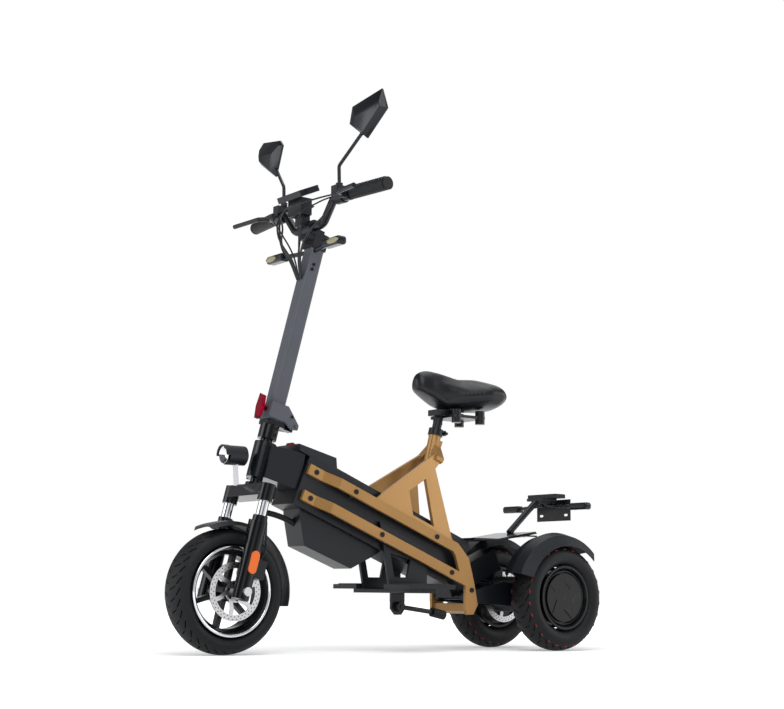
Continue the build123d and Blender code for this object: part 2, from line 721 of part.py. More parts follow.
# Rear: pivoted arms, axle housing with stub axles and brake parts.
STUB_R = 8.0
housing = Pos(-950, 0, 150) * Box(110, 92, 96)
housing = fillet(housing.edges().filter_by(Axis.Y), 22)
tubes = cross_pin(20, -66, 66, REAR_X, REAR_TYRE_R)
stubs = cross_pin(STUB_R, -REAR_Y - 34, REAR_Y + 34, REAR_X, REAR_TYRE_R)
save("rear_axle", housing + tubes + stubs)

arm_points = [(-700, 156), (-742, 160), (-840, 182), (-960, 172), (-975, 120), (-860, 118), (-748, 126), (-700, 130)]
arm = side_plate(arm_points, 47, 60, 8)
arm = arm - cross_pin(20, 0, 90, REAR_X, REAR_TYRE_R)
pivot = cross_pin(15, -60, 60, -800, 160) + cross_pin(9, -RAIL_IN, RAIL_IN, -714, 143)
save("swing_arms", arm + mirrored(arm) + pivot)
link = Pos(-760, 0, 205) * Rot(0, 24, 0) * Box(190, 60, 60)
save("rear_shock", link - deck - lid - pivot - housing)

# Rear wheels: a rim with a bladed motor cover outside and a disc inside.
rear_section = [
    (REAR_LIP_R, -LIP_HALF),
    (REAR_LIP_R, -BEAD_HALF),
    (REAR_BEAD_R, -BEAD_HALF),
    (REAR_BEAD_R - 1, -22),
    (REAR_BEAD_R - 7, -16),
    (REAR_BEAD_R - 7, 16),
    (REAR_BEAD_R - 1, 22),
    (REAR_BEAD_R, BEAD_HALF),
    (REAR_LIP_R, BEAD_HALF),
    (REAR_LIP_R, LIP_HALF),
    (REAR_LIP_R - 6, LIP_HALF),
    (REAR_LIP_R - 12, 24),
    (0, 24),
    (0, -24),
    (REAR_LIP_R - 12, -24),
    (REAR_LIP_R - 6, -LIP_HALF),
]
rear_rim = spun(rear_section, 0, 0)
cover = Pos(0, 29, 0) * Rot(90, 0, 0) * Cylinder(64, 10)
rear_rim = rear_rim + cover
rear_rim = rear_rim - Rot(90, 0, 0) * Cylinder(STUB_R + FIT, 200)
rear_rim = Pos(REAR_X, REAR_Y, REAR_TYRE_R) * rear_rim
save("rear_rim_left", rear_rim)
save("rear_rim_right", mirrored(rear_rim))
REAR_DISC_Y = 78.0
rear_boss = cross_pin(20, REAR_DISC_Y - DISC_THICK / 2, REAR_Y - 24, REAR_X, REAR_TYRE_R)
rear_boss = rear_boss - cross_pin(STUB_R + FIT, 0, 200, REAR_X, REAR_TYRE_R)
rear_disc = rear_boss + Pos(REAR_X, REAR_DISC_Y, REAR_TYRE_R) * brake_disc(STUB_R + FIT)
save("rear_disc_left", rear_disc)
save("rear_disc_right", mirrored(rear_disc))
rear_caliper = Pos(-925, REAR_DISC_Y, 205) * Rot(0, -20, 0) * Box(40, 28, 36)
rear_caliper = rear_caliper - Pos(-925, REAR_DISC_Y, 195) * Box(90, DISC_THICK + 5, 40)
caliper_arm = Pos(-925, 60, 195) * Box(30, 10, 60)
caliper_all = (rear_caliper + caliper_arm) - arm - housing - tubes
save("rear_calipers", both(caliper_all))

# Rear mudguards, domed shells over the tyres, and the plate between them.
REAR_GUARD_R = 172.0
rear_guard_section = [
    (REAR_GUARD_R - 26, -46),
    (REAR_GUARD_R - 7, -30),
    (REAR_GUARD_R, 0),
    (REAR_GUARD_R - 8, 28),
    (REAR_GUARD_R - 34, 49),
    (REAR_GUARD_R - 34, 52),
    (REAR_GUARD_R - 5, 31),
    (REAR_GUARD_R + 3, 0),
    (REAR_GUARD_R - 4, -33),
    (REAR_GUARD_R - 26, -49),
]
rear_guard = Pos(0, REAR_Y, 0) * spun(rear_guard_section, REAR_X, REAR_TYRE_R, 112, -134)
save("rear_mudguards", both(rear_guard))
rear_plate = side_plate(
    [(-718, 297), (-803, 297), (-940, 320), (-945, 314), (-803, 291), (-718, 291)], -82, 82
)
rear_plate = rear_plate + Pos(-900, 0, 306) * Box(40, 216, 4)
save("rear_plate", rear_plate - rear_guard - mirrored(rear_guard) - deck - lid)

# Tail: an arm up from the plate, lamp, plate bracket and turn signals.
tail_arm = bar_between((-915, 0, 318), (-1019, 0, 410), 9)
tail_arm = tail_arm + Pos(-1040, 0, 414) * Box(60, 60, 8)
tail_arm = tail_arm - rear_plate
tail_lamp = Pos(-1056, 0, 424) * Box(36, 112, 12)
tail_lamp = tail_lamp + Pos(-1077, 0, 424) * Box(6, 108, 11)
save("tail_lamp", tail_lamp)
BRACKET_X = -1086.0
BRACKET_THICK = 2.5
SLOT_SPACING = 100.0
SLOT_LONG = 16.0
SLOT_R = 3.25
bracket = Pos(BRACKET_X, 0, 386) * Box(BRACKET_THICK, 136, 60)
for y in (-SLOT_SPACING / 2, SLOT_SPACING / 2):
    slot = extrude(SlotOverall(SLOT_LONG, 2 * SLOT_R), 20, both=True)
    bracket = bracket - Pos(BRACKET_X, y, 372) * Rot(0, 90, 0) * Rot(0, 0, 90) * slot
bracket = bracket + Pos(-1070, 0, 400) * Box(30, 40, 4) + Pos(-1055, 0, 406) * Box(4, 40, 14)
save("tail_bracket", bracket + tail_arm)
rear_stalk = bar_between((-1055, 10, 400), (-1055, 110, 392), 5)
rear_signal = Pos(-1055, 138, 392) * Box(26, 68, 20)
rear_signal = fillet(rear_signal.edges(), 7)
save("rear_signals", both((rear_stalk + rear_signal) - bracket - tail_arm))
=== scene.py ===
import math
import bpy
from mathutils import Matrix, Vector


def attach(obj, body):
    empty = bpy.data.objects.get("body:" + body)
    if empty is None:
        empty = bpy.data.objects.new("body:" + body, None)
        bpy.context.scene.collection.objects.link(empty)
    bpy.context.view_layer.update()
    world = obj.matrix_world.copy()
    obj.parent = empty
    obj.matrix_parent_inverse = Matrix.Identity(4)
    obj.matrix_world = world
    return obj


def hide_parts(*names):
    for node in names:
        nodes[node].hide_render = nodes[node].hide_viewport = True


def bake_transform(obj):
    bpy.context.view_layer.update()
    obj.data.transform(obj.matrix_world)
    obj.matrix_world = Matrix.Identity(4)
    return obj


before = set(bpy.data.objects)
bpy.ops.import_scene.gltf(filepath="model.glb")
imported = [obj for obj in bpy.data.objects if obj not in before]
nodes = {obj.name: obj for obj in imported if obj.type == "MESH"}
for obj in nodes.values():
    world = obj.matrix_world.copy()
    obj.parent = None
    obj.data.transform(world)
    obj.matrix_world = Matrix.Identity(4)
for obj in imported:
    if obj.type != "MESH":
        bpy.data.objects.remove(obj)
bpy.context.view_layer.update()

scene = bpy.context.scene
bpy.ops.object.select_all(action="DESELECT")

# The photographer's place: low beside the front wheel, on the scooter's left,
# looking slightly up. The lens is long, so the lines hardly converge.
camera_data = bpy.data.cameras.new("photo_camera")
camera = bpy.data.objects.new("photo_camera", camera_data)
scene.collection.objects.link(camera)
scene.camera = camera
image_width = 784.0
focal_pixels = 1490.14
camera_data.sensor_fit = "HORIZONTAL"
camera_data.sensor_width = 36.0
camera_data.lens = focal_pixels / image_width * camera_data.sensor_width
camera_data.clip_start = 0.05
camera_data.clip_end = 60.0
yaw = math.radians(232.672)
pitch = math.radians(9.0227)
roll = math.radians(0.5477)
forward = Vector((math.cos(yaw) * math.cos(pitch), math.sin(yaw) * math.cos(pitch), math.sin(pitch)))
level_right = Vector((math.sin(yaw), -math.cos(yaw), 0.0))
level_up = level_right.cross(forward)
right = math.cos(roll) * level_right + math.sin(roll) * level_up
up = -math.sin(roll) * level_right + math.cos(roll) * level_up
turned = Matrix((right, up, -forward)).transposed().to_4x4()
camera.matrix_world = Matrix.Translation((2.35635, 3.1185, 0.1546)) @ turned

# Studio light: a big soft panel overhead, one from the camera's side and a
# weaker one from behind, so each black part keeps a bright edge.
panels = [
    # name, place, target, size, watts
    ("key_panel", (1.6, 2.2, 2.9), (0.0, 0.0, 0.5), 2.4, 50.0),
    ("side_panel", (3.2, -1.2, 1.7), (0.0, 0.0, 0.6), 1.8, 30.0),
    ("top_panel", (-0.6, 0.2, 3.4), (0.0, 0.0, 0.3), 2.6, 42.0),
    ("rear_panel", (-3.0, 1.6, 1.6), (-0.3, 0.0, 0.5), 1.6, 26.0),
]
for panel_name, place, target, size, watts in panels:
    light = bpy.data.lights.new(panel_name, "AREA")
    light.shape = "SQUARE"
    light.size = size
    light.energy = watts
    lamp = bpy.data.objects.new(panel_name, light)
    scene.collection.objects.link(lamp)
    aim = Vector(target) - Vector(place)
    lamp.rotation_mode = "QUATERNION"
    lamp.rotation_quaternion = aim.to_track_quat("-Z", "Y")
    lamp.location = place

scene.view_settings.view_transform = "Standard"
world = bpy.data.worlds.new("white_studio")
scene.world = world
world.use_nodes = True


def add_node(tree, kind, settings, links):
    """Adds a node, sets its named attributes and sockets, and links its inputs."""
    made = tree.nodes.new(kind)
    for key, value in settings.items():
        if hasattr(made, key):
            setattr(made, key, value)
        else:
            made.inputs[key].default_value = value
    for key, source in links.items():
        tree.links.new(source, made.inputs[key])
    return made


def linear(hex_colour):
    """An sRGB hex colour as linear RGBA."""
    parts = [int(hex_colour[i:i + 2], 16) / 255 for i in (1, 3, 5)]
    return tuple(p / 12.92 if p <= 0.04045 else ((p + 0.055) / 1.055) ** 2.4 for p in parts) + (1.0,)


sky = world.node_tree
sky.nodes.clear()
ray = add_node(sky, "ShaderNodeLightPath", {}, {})
seen_directly = add_node(
    sky, "ShaderNodeMath", {"operation": "MAXIMUM"},
    {0: ray.outputs["Is Camera Ray"], 1: ray.outputs["Is Transmission Ray"]},
)
seen_or_glossy = add_node(
    sky, "ShaderNodeMath", {"operation": "MAXIMUM"},
    {0: seen_directly.outputs[0], 1: ray.outputs["Is Glossy Ray"]},
)
soft_fill = add_node(sky, "ShaderNodeBackground", {"Color": linear("#eef0f4"), "Strength": 0.42}, {})
# Two black flags stand beside the white wall. Only reflections see them, which
# gives chrome and gloss their dark streaks.
sky_place = add_node(sky, "ShaderNodeTexCoord", {}, {})
sideways = add_node(
    sky, "ShaderNodeVectorMath", {"operation": "DOT_PRODUCT"}, {0: sky_place.outputs["Generated"]}
)
sideways.inputs[1].default_value = level_right
sideways_share = add_node(
    sky, "ShaderNodeMapRange", {"From Min": -1.0, "From Max": 1.0}, {"Value": sideways.outputs["Value"]}
)
flags = add_node(sky, "ShaderNodeValToRGB", {}, {"Fac": sideways_share.outputs[0]})
flag_edges = (0.16, 0.34, 0.42, 0.62, 0.68, 0.8)
flag_darkness = (0.0, 0.85, 0.85, 0.0, 0.0, 0.8, 0.8, 0.0)
for stop in flag_edges:
    flags.color_ramp.elements.new(stop)
for element, dark in zip(flags.color_ramp.elements, flag_darkness):
    element.color = (dark, dark, dark, 1)
flagged = add_node(
    sky, "ShaderNodeMath", {"operation": "MULTIPLY"},
    {0: ray.outputs["Is Glossy Ray"], 1: flags.outputs["Color"]},
)
wall_light = add_node(sky, "ShaderNodeMath", {"operation": "SUBTRACT"}, {1: flagged.outputs[0]})
wall_light.inputs[0].default_value = 1.0
white_wall = add_node(
    sky, "ShaderNodeBackground", {"Color": (1, 1, 1, 1)}, {"Strength": wall_light.outputs[0]}
)
sky_mix = add_node(
    sky, "ShaderNodeMixShader", {},
    {0: seen_or_glossy.outputs[0], 1: soft_fill.outputs[0], 2: white_wall.outputs[0]},
)
add_node(sky, "ShaderNodeOutputWorld", {}, {"Surface": sky_mix.outputs[0]})

# Floor: a seamless white sweep with painted light: it glows, weakly near the wheels
# so their shadows show, and rising to pure white away from them.
bpy.ops.mesh.primitive_plane_add(size=30.0, location=(0, 0, 0))
floor = bpy.context.object
floor.name = "floor"
floor_finish = bpy.data.materials.new("glowing_white_paper_sweep")
floor_finish.use_nodes = True
paper = floor_finish.node_tree
paper.nodes.clear()
paper_place = add_node(paper, "ShaderNodeTexCoord", {}, {})
paper_reach = add_node(
    paper, "ShaderNodeVectorMath", {"operation": "LENGTH"}, {0: paper_place.outputs["Object"]}
)
# Painted light: the floor's glow grows with distance from the wheels.
painted_glow_rise = add_node(
    paper, "ShaderNodeMapRange", {"From Min": 0.8, "From Max": 2.0, "To Min": 0.3, "To Max": 1.0},
    {"Value": paper_reach.outputs["Value"]},
)
paper_body = add_node(
    paper, "ShaderNodeBsdfDiffuse", {"Color": linear("#f4f4f4"), "Roughness": 1.0}, {}
)
paper_glow = add_node(
    paper, "ShaderNodeEmission", {"Color": (1, 1, 1, 1)}, {"Strength": painted_glow_rise.outputs[0]}
)
paper_sum = add_node(paper, "ShaderNodeAddShader", {}, {0: paper_body.outputs[0], 1: paper_glow.outputs[0]})
add_node(paper, "ShaderNodeOutputMaterial", {}, {"Surface": paper_sum.outputs[0]})
floor.data.materials.append(floor_finish)
bpy.ops.object.select_all(action="DESELECT")

# Powder coat: baked polyester on the steel and cast parts, satin, with the
# slight orange peel of a sprayed powder.


def powder_coat(name, colour, rough, peel):
    """A sprayed and baked coat. peel is the height of its orange peel."""
    finish = bpy.data.materials.new(name)
    finish.use_nodes = True
    tree = finish.node_tree
    shader = tree.nodes["Principled BSDF"]
    place = add_node(tree, "ShaderNodeTexCoord", {}, {})
    grain = add_node(
        tree, "ShaderNodeTexNoise", {"Scale": 700.0, "Detail": 2.0}, {"Vector": place.outputs["Object"]}
    )
    drift = add_node(
        tree, "ShaderNodeTexNoise", {"Scale": 9.0, "Detail": 3.0}, {"Vector": place.outputs["Object"]}
    )
    tint = add_node(tree, "ShaderNodeValToRGB", {}, {"Fac": drift.outputs["Fac"]})
    base = linear(colour)
    tint.color_ramp.elements[0].color = tuple(c * 0.88 for c in base[:3]) + (1,)
    tint.color_ramp.elements[1].color = tuple(min(1, c * 1.1) for c in base[:3]) + (1,)
    gloss = add_node(
        tree, "ShaderNodeMapRange", {"To Min": rough - 0.05, "To Max": rough + 0.07},
        {"Value": drift.outputs["Fac"]},
    )
    edge = add_node(tree, "ShaderNodeBevel", {"samples": 4, "Radius": 0.0014}, {})
    relief = add_node(
        tree, "ShaderNodeBump", {"Strength": peel, "Distance": 0.0002},
        {"Height": grain.outputs["Fac"], "Normal": edge.outputs["Normal"]},
    )
    tree.links.new(tint.outputs[0], shader.inputs["Base Color"])
    tree.links.new(gloss.outputs[0], shader.inputs["Roughness"])
    tree.links.new(relief.outputs[0], shader.inputs["Normal"])
    shader.inputs["IOR"].default_value = 1.36
    return finish


def coat(finish, *names):
    """Gives the CAD nodes of these names one finish."""
    for name in names:
        nodes[name].data.materials.clear()
        nodes[name].data.materials.append(finish)


satin_black_coat = powder_coat("satin_black_powder_coat", "#121419", 0.34, 0.15)
dark_grey_coat = powder_coat("dark_grey_powder_coat", "#4b4d55", 0.38, 0.2)
coat(
    satin_black_coat, "front_caliper", "bar_clamp", "brake_levers", "mirror_arms", "deck_box",
    "belly_case", "post_clamp", "saddle_post", "saddle_springs", "footboards", "board_hangers",
    "kickstand", "rear_axle", "swing_arms", "rear_shock", "rear_calipers", "tail_bracket",
)
coat(dark_grey_coat, "stem_tube", "stem_hinge")

# Enamel: stoved gloss black on the fork's legs and crown and the bar.
gloss_enamel = powder_coat("gloss_black_enamel", "#0b0c10", 0.14, 0.03)
coat(gloss_enamel, "fork_legs", "fork_crown", "handlebar", "stem_collar")

# Bronze: satin metallic paint over aluminium, warm where it turns away.
bronze_paint = powder_coat("satin_bronze_paint", "#9f7846", 0.3, 0.08)
bronze_shader = bronze_paint.node_tree.nodes["Principled BSDF"]
bronze_shader.inputs["Metallic"].default_value = 0.35
coat(bronze_paint, "side_rails", "saddle_frame")

# Moulded ABS covers: gloss black on the neck and lamps, fine matt grain on
# the mudguards and switch pods.


def moulded(name, colour, rough, grain_size, relief_depth):
    """Injection-moulded plastic with a spark-eroded grain of a given size in metres."""
    finish = bpy.data.materials.new(name)
    finish.use_nodes = True
    tree = finish.node_tree
    shader = tree.nodes["Principled BSDF"]
    place = add_node(tree, "ShaderNodeTexCoord", {}, {})
    grain = add_node(
        tree, "ShaderNodeTexVoronoi", {"Scale": 1.0 / grain_size}, {"Vector": place.outputs["Object"]}
    )
    haze = add_node(
        tree, "ShaderNodeTexNoise", {"Scale": 14.0, "Detail": 4.0}, {"Vector": place.outputs["Object"]}
    )
    gloss = add_node(
        tree, "ShaderNodeMapRange", {"To Min": rough - 0.04, "To Max": rough + 0.06},
        {"Value": haze.outputs["Fac"]},
    )
    edge = add_node(tree, "ShaderNodeBevel", {"samples": 4, "Radius": 0.0016}, {})
    relief = add_node(
        tree, "ShaderNodeBump", {"Strength": relief_depth, "Distance": 0.0003},
        {"Height": grain.outputs["Distance"], "Normal": edge.outputs["Normal"]},
    )
    shader.inputs["Base Color"].default_value = linear(colour)
    shader.inputs["IOR"].default_value = 1.36
    tree.links.new(gloss.outputs[0], shader.inputs["Roughness"])
    tree.links.new(relief.outputs[0], shader.inputs["Normal"])
    return finish


gloss_abs = moulded("gloss_black_abs", "#0e1117", 0.18, 0.02, 0.0)
matt_abs = moulded("matt_black_abs", "#12151a", 0.42, 0.0009, 0.15)
coat(
    gloss_abs, "neck", "display", "mirror_shells", "front_signals", "rear_plate", "tail_lamp",
    "rear_signals",
)
coat(matt_abs, "front_mudguard", "rear_mudguards", "deck_lid", "switch_pods", "headlight")

# Tyres: carbon-black rubber, matt, with the fine grain of the mould.
tyre_rubber = moulded("carbon_black_tyre_rubber", "#0c0e11", 0.6, 0.0014, 0.3)
coat(tyre_rubber, "front_tyre", "rear_tyre_left", "rear_tyre_right", "grips", "kickstand_foot")

# Rims: cast aluminium, painted gloss black.
rim_paint = powder_coat("gloss_black_rim_paint", "#0d0e10", 0.26, 0.1)
coat(rim_paint, "front_rim", "rear_rim_left", "rear_rim_right")

# Bright metal: hard chrome on the stanchions and bracket, ground stainless
# steel on the brake discs and axle nuts.


def bright_metal(name, colour, rough, scratch):
    """A polished or ground metal. scratch is the depth of its grinding marks."""
    finish = bpy.data.materials.new(name)
    finish.use_nodes = True
    tree = finish.node_tree
    shader = tree.nodes["Principled BSDF"]
    place = add_node(tree, "ShaderNodeTexCoord", {}, {})
    marks = add_node(
        tree, "ShaderNodeTexNoise", {"Scale": 260.0, "Detail": 3.0}, {"Vector": place.outputs["Object"]}
    )
    gloss = add_node(
        tree, "ShaderNodeMapRange", {"To Min": rough, "To Max": rough + 0.12}, {"Value": marks.outputs["Fac"]}
    )
    relief = add_node(
        tree, "ShaderNodeBump", {"Strength": scratch, "Distance": 0.0001}, {"Height": marks.outputs["Fac"]}
    )
    shader.inputs["Base Color"].default_value = linear(colour)
    shader.inputs["Metallic"].default_value = 1.0
    tree.links.new(gloss.outputs[0], shader.inputs["Roughness"])
    tree.links.new(relief.outputs[0], shader.inputs["Normal"])
    return finish


hard_chrome = bright_metal("hard_chrome", "#dfe0e4", 0.06, 0.02)
ground_steel = bright_metal("ground_stainless_steel", "#c9c9cb", 0.26, 0.12)
coat(hard_chrome, "stanchions", "headlight_bracket")
coat(ground_steel, "front_disc", "rear_disc_left", "rear_disc_right", "front_axle")

# Silvered mirror glass.
silvered_glass = bright_metal("silvered_mirror_glass", "#e6eaee", 0.02, 0.0)
coat(silvered_glass, "mirror_glasses")

# Red anodised wing of the stem lock.
red_anodised = bright_metal("red_anodised_aluminium", "#8e1029", 0.3, 0.05)
coat(red_anodised, "clamp_knob")

# Amber reflectors, moulded in polycarbonate.
amber = moulded("amber_polycarbonate", "#df6b2b", 0.25, 0.0016, 0.3)
coat(amber, "fork_reflectors")

# Saddle: synthetic leather over foam.
saddle_leather = moulded("black_synthetic_leather", "#121316", 0.34, 0.0016, 0.2)
coat(saddle_leather, "saddle")

# Places on the scooter. The front axle stands over x 0.47775, and the steering
# axis leans back 14.8 degrees through a point 12 mm behind it.
rake = math.radians(14.8)
slope = math.radians(21.7)


def at(x, y, z):
    """A place given in millimetres from the floor below the front axle."""
    return Vector((0.47775 + x / 1000, y / 1000, z / 1000))


def on_steer(x, y, h):
    """A place across, beside and along the steering axis, in millimetres."""
    lean, rise = math.sin(rake), math.cos(rake)
    return at(-12 + x * rise - h * lean, y, 150 + x * lean + h * rise)


def on_body(u, v, y):
    """A place down along the deck, square to it, and sideways, in millimetres."""
    fall, run = math.sin(slope), math.cos(slope)
    return at(-190 - u * run - v * fall, y, 440 - u * fall + v * run)


def finished(piece, name, body, finish):
    """Names a piece, applies its place, smooths it and hangs it on its body."""
    piece.name = name
    piece.data.materials.clear()
    piece.data.materials.append(finish)
    bpy.ops.object.select_all(action="DESELECT")
    piece.select_set(True)
    bpy.context.view_layer.objects.active = piece
    bpy.ops.object.transform_apply(location=True, rotation=True, scale=True)
    bpy.ops.object.shade_smooth_by_angle(angle=math.radians(35))
    bpy.ops.object.select_all(action="DESELECT")
    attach(piece, body)
    return piece


def copies_of(master, places):
    """One object made of a master's copies, each set by a matrix."""
    made = []
    for place in places:
        twin = bpy.data.objects.new("copy", master.data.copy())
        twin.data.transform(place)
        scene.collection.objects.link(twin)
        made.append(twin)
    bpy.data.objects.remove(master)
    bpy.ops.object.select_all(action="DESELECT")
    for twin in made:
        twin.select_set(True)
    bpy.context.view_layer.objects.active = made[0]
    bpy.ops.object.join()
    return made[0]


def facing(place, axis):
    """The matrix that stands a piece's +Z along an axis at a place."""
    stand = Vector(axis).to_track_quat("Z", "Y").to_matrix().to_4x4()
    return Matrix.Translation(place) @ stand


# Tyres: vulcanised rubber with curved sipes cut into both shoulders, moulded
# in one piece and seated in the rims. They replace the plain CAD rings.
front_hub, left_hub, right_hub = at(0, 0, 150), at(-964, 135, 141.5), at(-964, -135, 141.5)
TYRES = [
    # name, node, body, centre, outer radius, bead radius, half width, sipes
    ("front_tyre_tread", "front_tyre", "front_wheel", front_hub, 0.150, 0.1045, 0.0452, 34),
    ("left_tyre_tread", "rear_tyre_left", "rear_wheel_left", left_hub, 0.1415, 0.0815, 0.0442, 30),
    ("right_tyre_tread", "rear_tyre_right", "rear_wheel_right", right_hub, 0.1415, 0.0815, 0.0442, 30),
]
for name, node, body, centre, outer, bead, half, sipes in TYRES:
    bpy.ops.mesh.primitive_cube_add(size=1.0)
    cutter = bpy.context.object
    cutter.data.transform(Matrix.Diagonal((0.0028, 0.021, 0.008, 1.0)))
    cuts = []
    for number in range(sipes):
        for side in (-1, 1):
            turn = 2 * math.pi * (number + side * 0.25) / sipes
            for across, slant, drop in ((0.30, 0.45, 0.001), (0.66, 1.0, 0.009)):
                around = Matrix.Rotation(turn + side * (across - 0.3) * 0.16, 4, "Y")
                out = Matrix.Translation((0.0, side * half * across, outer - drop))
                tip = Matrix.Rotation(-side * drop * 62, 4, "X")
                cuts.append(around @ out @ tip @ Matrix.Rotation(side * slant, 4, "Z"))
    cutter = copies_of(cutter, cuts)
    bpy.ops.mesh.primitive_circle_add(vertices=32, radius=1.0)
    tyre = bpy.context.object
    bpy.ops.object.mode_set(mode="EDIT")
    bpy.ops.mesh.select_all(action="SELECT")
    bpy.ops.transform.resize(value=((outer - bead) / 2, half, 1.0))
    bpy.ops.transform.translate(value=((outer + bead) / 2, 0.0, 0.0))
    bpy.ops.mesh.spin(steps=144, angle=2 * math.pi, center=(0, 0, 0), axis=(0, 1, 0))
    bpy.ops.mesh.select_all(action="SELECT")
    bpy.ops.mesh.remove_doubles(threshold=0.00002)
    bpy.ops.mesh.normals_make_consistent(inside=False)
    bpy.ops.object.mode_set(mode="OBJECT")
    grooved = tyre.modifiers.new("sipes", "BOOLEAN")
    grooved.operation = "DIFFERENCE"
    grooved.solver = "EXACT"
    grooved.use_self = True
    grooved.object = cutter
    bpy.ops.object.select_all(action="DESELECT")
    tyre.select_set(True)
    bpy.context.view_layer.objects.active = tyre
    bpy.ops.object.modifier_apply(modifier="sipes")
    bpy.data.objects.remove(cutter)
    tyre.data.transform(Matrix.Translation(centre))
    finished(tyre, name, body, tyre_rubber)
    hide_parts(node)

# Red paint marks round the rear tyres' shoulders, short dashes laid in the
# rubber on both walls.
red_paint = moulded("red_tyre_paint", "#b3242c", 0.55, 0.0012, 0.2)
dash_count = 26
for side, body in ((1, "rear_wheel_left"), (-1, "rear_wheel_right")):
    bpy.ops.mesh.primitive_uv_sphere_add(segments=12, ring_count=6, radius=1.0)
    dash = bpy.context.object
    dash.data.transform(Matrix.Diagonal((0.0055, 0.0012, 0.0014, 1.0)))
    marks = []
    for number in range(dash_count):
        for wall in (-1, 1):
            around = Matrix.Rotation(2 * math.pi * number / dash_count, 4, "Y")
            lie = Matrix.Translation((0.0, wall * 0.0357, 0.1292)) @ Matrix.Rotation(-wall * 0.8, 4, "X")
            marks.append(Matrix.Translation(at(-964, side * 135, 141.5)) @ around @ lie)
    finished(copies_of(dash, marks), "tyre_marks_" + body[-5:].strip("_"), body, red_paint)

# Rim lips: the rolled edges of the front rim, turned bright and polished, and
# the machined edge that runs round each rear cover.
LIPS = [
    # name, body, centre, radius, thickness, offsets to each side
    ("front_rim_lips", "front_wheel", front_hub, 0.1046, 0.0046, (-0.0362, 0.0362)),
    ("left_cover_ring", "rear_wheel_left", left_hub, 0.0706, 0.0024, (0.029,)),
    ("right_cover_ring", "rear_wheel_right", right_hub, 0.0706, 0.0024, (-0.029,)),
]
for name, body, centre, radius, thick, offsets in LIPS:
    bpy.ops.mesh.primitive_torus_add(
        major_segments=120, minor_segments=12, major_radius=radius, minor_radius=thick
    )
    ring = bpy.context.object
    places = [facing(centre + Vector((0, offset, 0)), (0, 1, 0)) for offset in offsets]
    shine, shine_slot = (hard_chrome, "chrome") if body == "front_wheel" else (rim_paint, "rim_black")
    finished(copies_of(ring, places), name, body, shine)

# Hub cover blades: five swept fins, cast in one with each rear motor cover and
# painted with it.
blade_count = 5
for side, body in ((1, "rear_wheel_left"), (-1, "rear_wheel_right")):
    bpy.ops.mesh.primitive_cone_add(vertices=3, radius1=0.024, radius2=0.015, depth=0.005)
    blade = bpy.context.object
    blade.data.transform(Matrix.Diagonal((1.35, 0.5, 1.0, 1.0)))
    hub = at(-964, side * 135, 141.5) + Vector((0, side * 0.0335, 0))
    fins = []
    for number in range(blade_count):
        spread = Matrix.Rotation(2 * math.pi * number / blade_count, 4, "Z")
        sweep = Matrix.Translation((0.042, 0, 0)) @ Matrix.Rotation(0.5, 4, "Z")
        fins.append(facing(hub, (0, side, 0)) @ spread @ sweep)
    finished(copies_of(blade, fins), "cover_blades_" + str((side + 1) // 2), body, rim_paint)

# Screws: black button heads with a hexagon socket, in the rails, the stem's
# head, the discs, the hinge and the neck.
# Blackened steel for the screws. The disc studs below also use it, as painted shade for the holes.
black_oxide_and_hole_shade = bright_metal("blackened_steel_and_hole_shade", "#2b2c30", 0.3, 0.06)
left, forward_axis = (0, 1, 0), (1, 0, 0)
rail_screws = []
for side in (1, -1):
    for u, v in ((147, 16), (263, -50), (430, 16), (511, -50), (591, -67)):
        rail_screws.append((on_body(u, v, side * 76), (0, side, 0)))
    for u, v in ((28, 16), (36, -51)):
        rail_screws.append((on_body(u, v, side * 60), (0, side, 0)))
stem_screws = [(at(-228, 22.8, 980), left), (at(-223, 22.8, 967), left)]
stem_screws += [(on_steer(-38, side * 31, 456), (0, side, 0)) for side in (1, -1)]
fork_screws = [(on_steer(-6, 23.5, h), left) for h in (398, 414)]
disc_screws = []
for number in range(6):
    angle = math.radians(60 * number + 15)
    disc_screws.append((at(20 * math.cos(angle), 51.5, 150 + 20 * math.sin(angle)), left))
SCREWS = [
    # name, body, radius, height, places
    ("rail_screws", "frame", 0.0065, 0.0028, rail_screws),
    ("stem_screws", "stem", 0.0042, 0.0024, stem_screws),
    ("collar_screws", "fork", 0.0042, 0.003, fork_screws),
    ("disc_screws", "front_wheel", 0.0034, 0.002, disc_screws),
]
for name, body, radius, tall, spots in SCREWS:
    bpy.ops.mesh.primitive_cylinder_add(vertices=24, radius=radius, depth=tall)
    head = bpy.context.object
    for face in head.data.polygons:
        face.select = face.normal.z > 0.9
    bpy.ops.object.mode_set(mode="EDIT")
    bpy.ops.mesh.select_mode(type="FACE")
    bpy.ops.mesh.inset(thickness=radius * 0.3)
    bpy.ops.transform.translate(value=(0, 0, tall * 0.35))
    bpy.ops.mesh.inset(thickness=radius * 0.22)
    bpy.ops.mesh.extrude_region_move(TRANSFORM_OT_translate={"value": (0, 0, -tall * 0.7)})
    bpy.ops.object.mode_set(mode="OBJECT")
    heads = copies_of(head, [facing(place, axis) for place, axis in spots])
    finished(heads, name, body, black_oxide_and_hole_shade)

# Disc drillings: two rings of holes through each brake disc's band. The CAD disc
# is undrilled, so a dark stud, just proud of the steel, stands for each hole. Its dark
# colour is partly painted shade, for the shade inside each hole, and partly the dark hub seen through it.
DRILLINGS = [
    # name, body, disc centre
    ("front_drillings", "front_wheel", at(0, 50, 150)),
    ("left_drillings", "rear_wheel_left", at(-964, 78, 141.5)),
    ("right_drillings", "rear_wheel_right", at(-964, -78, 141.5)),
]
hole_count = 72
for name, body, centre in DRILLINGS:
    bpy.ops.mesh.primitive_cylinder_add(vertices=12, radius=0.0015, depth=0.0034)
    hole = bpy.context.object
    holes = []
    for number in range(hole_count):
        angle = 2 * math.pi * number / hole_count
        reach = (0.0595, 0.0655)[number % 2]
        spot = centre + Vector((reach * math.cos(angle), 0, reach * math.sin(angle)))
        holes.append(facing(spot, (0, 1, 0)))
    finished(copies_of(hole, holes), name, body, black_oxide_and_hole_shade)

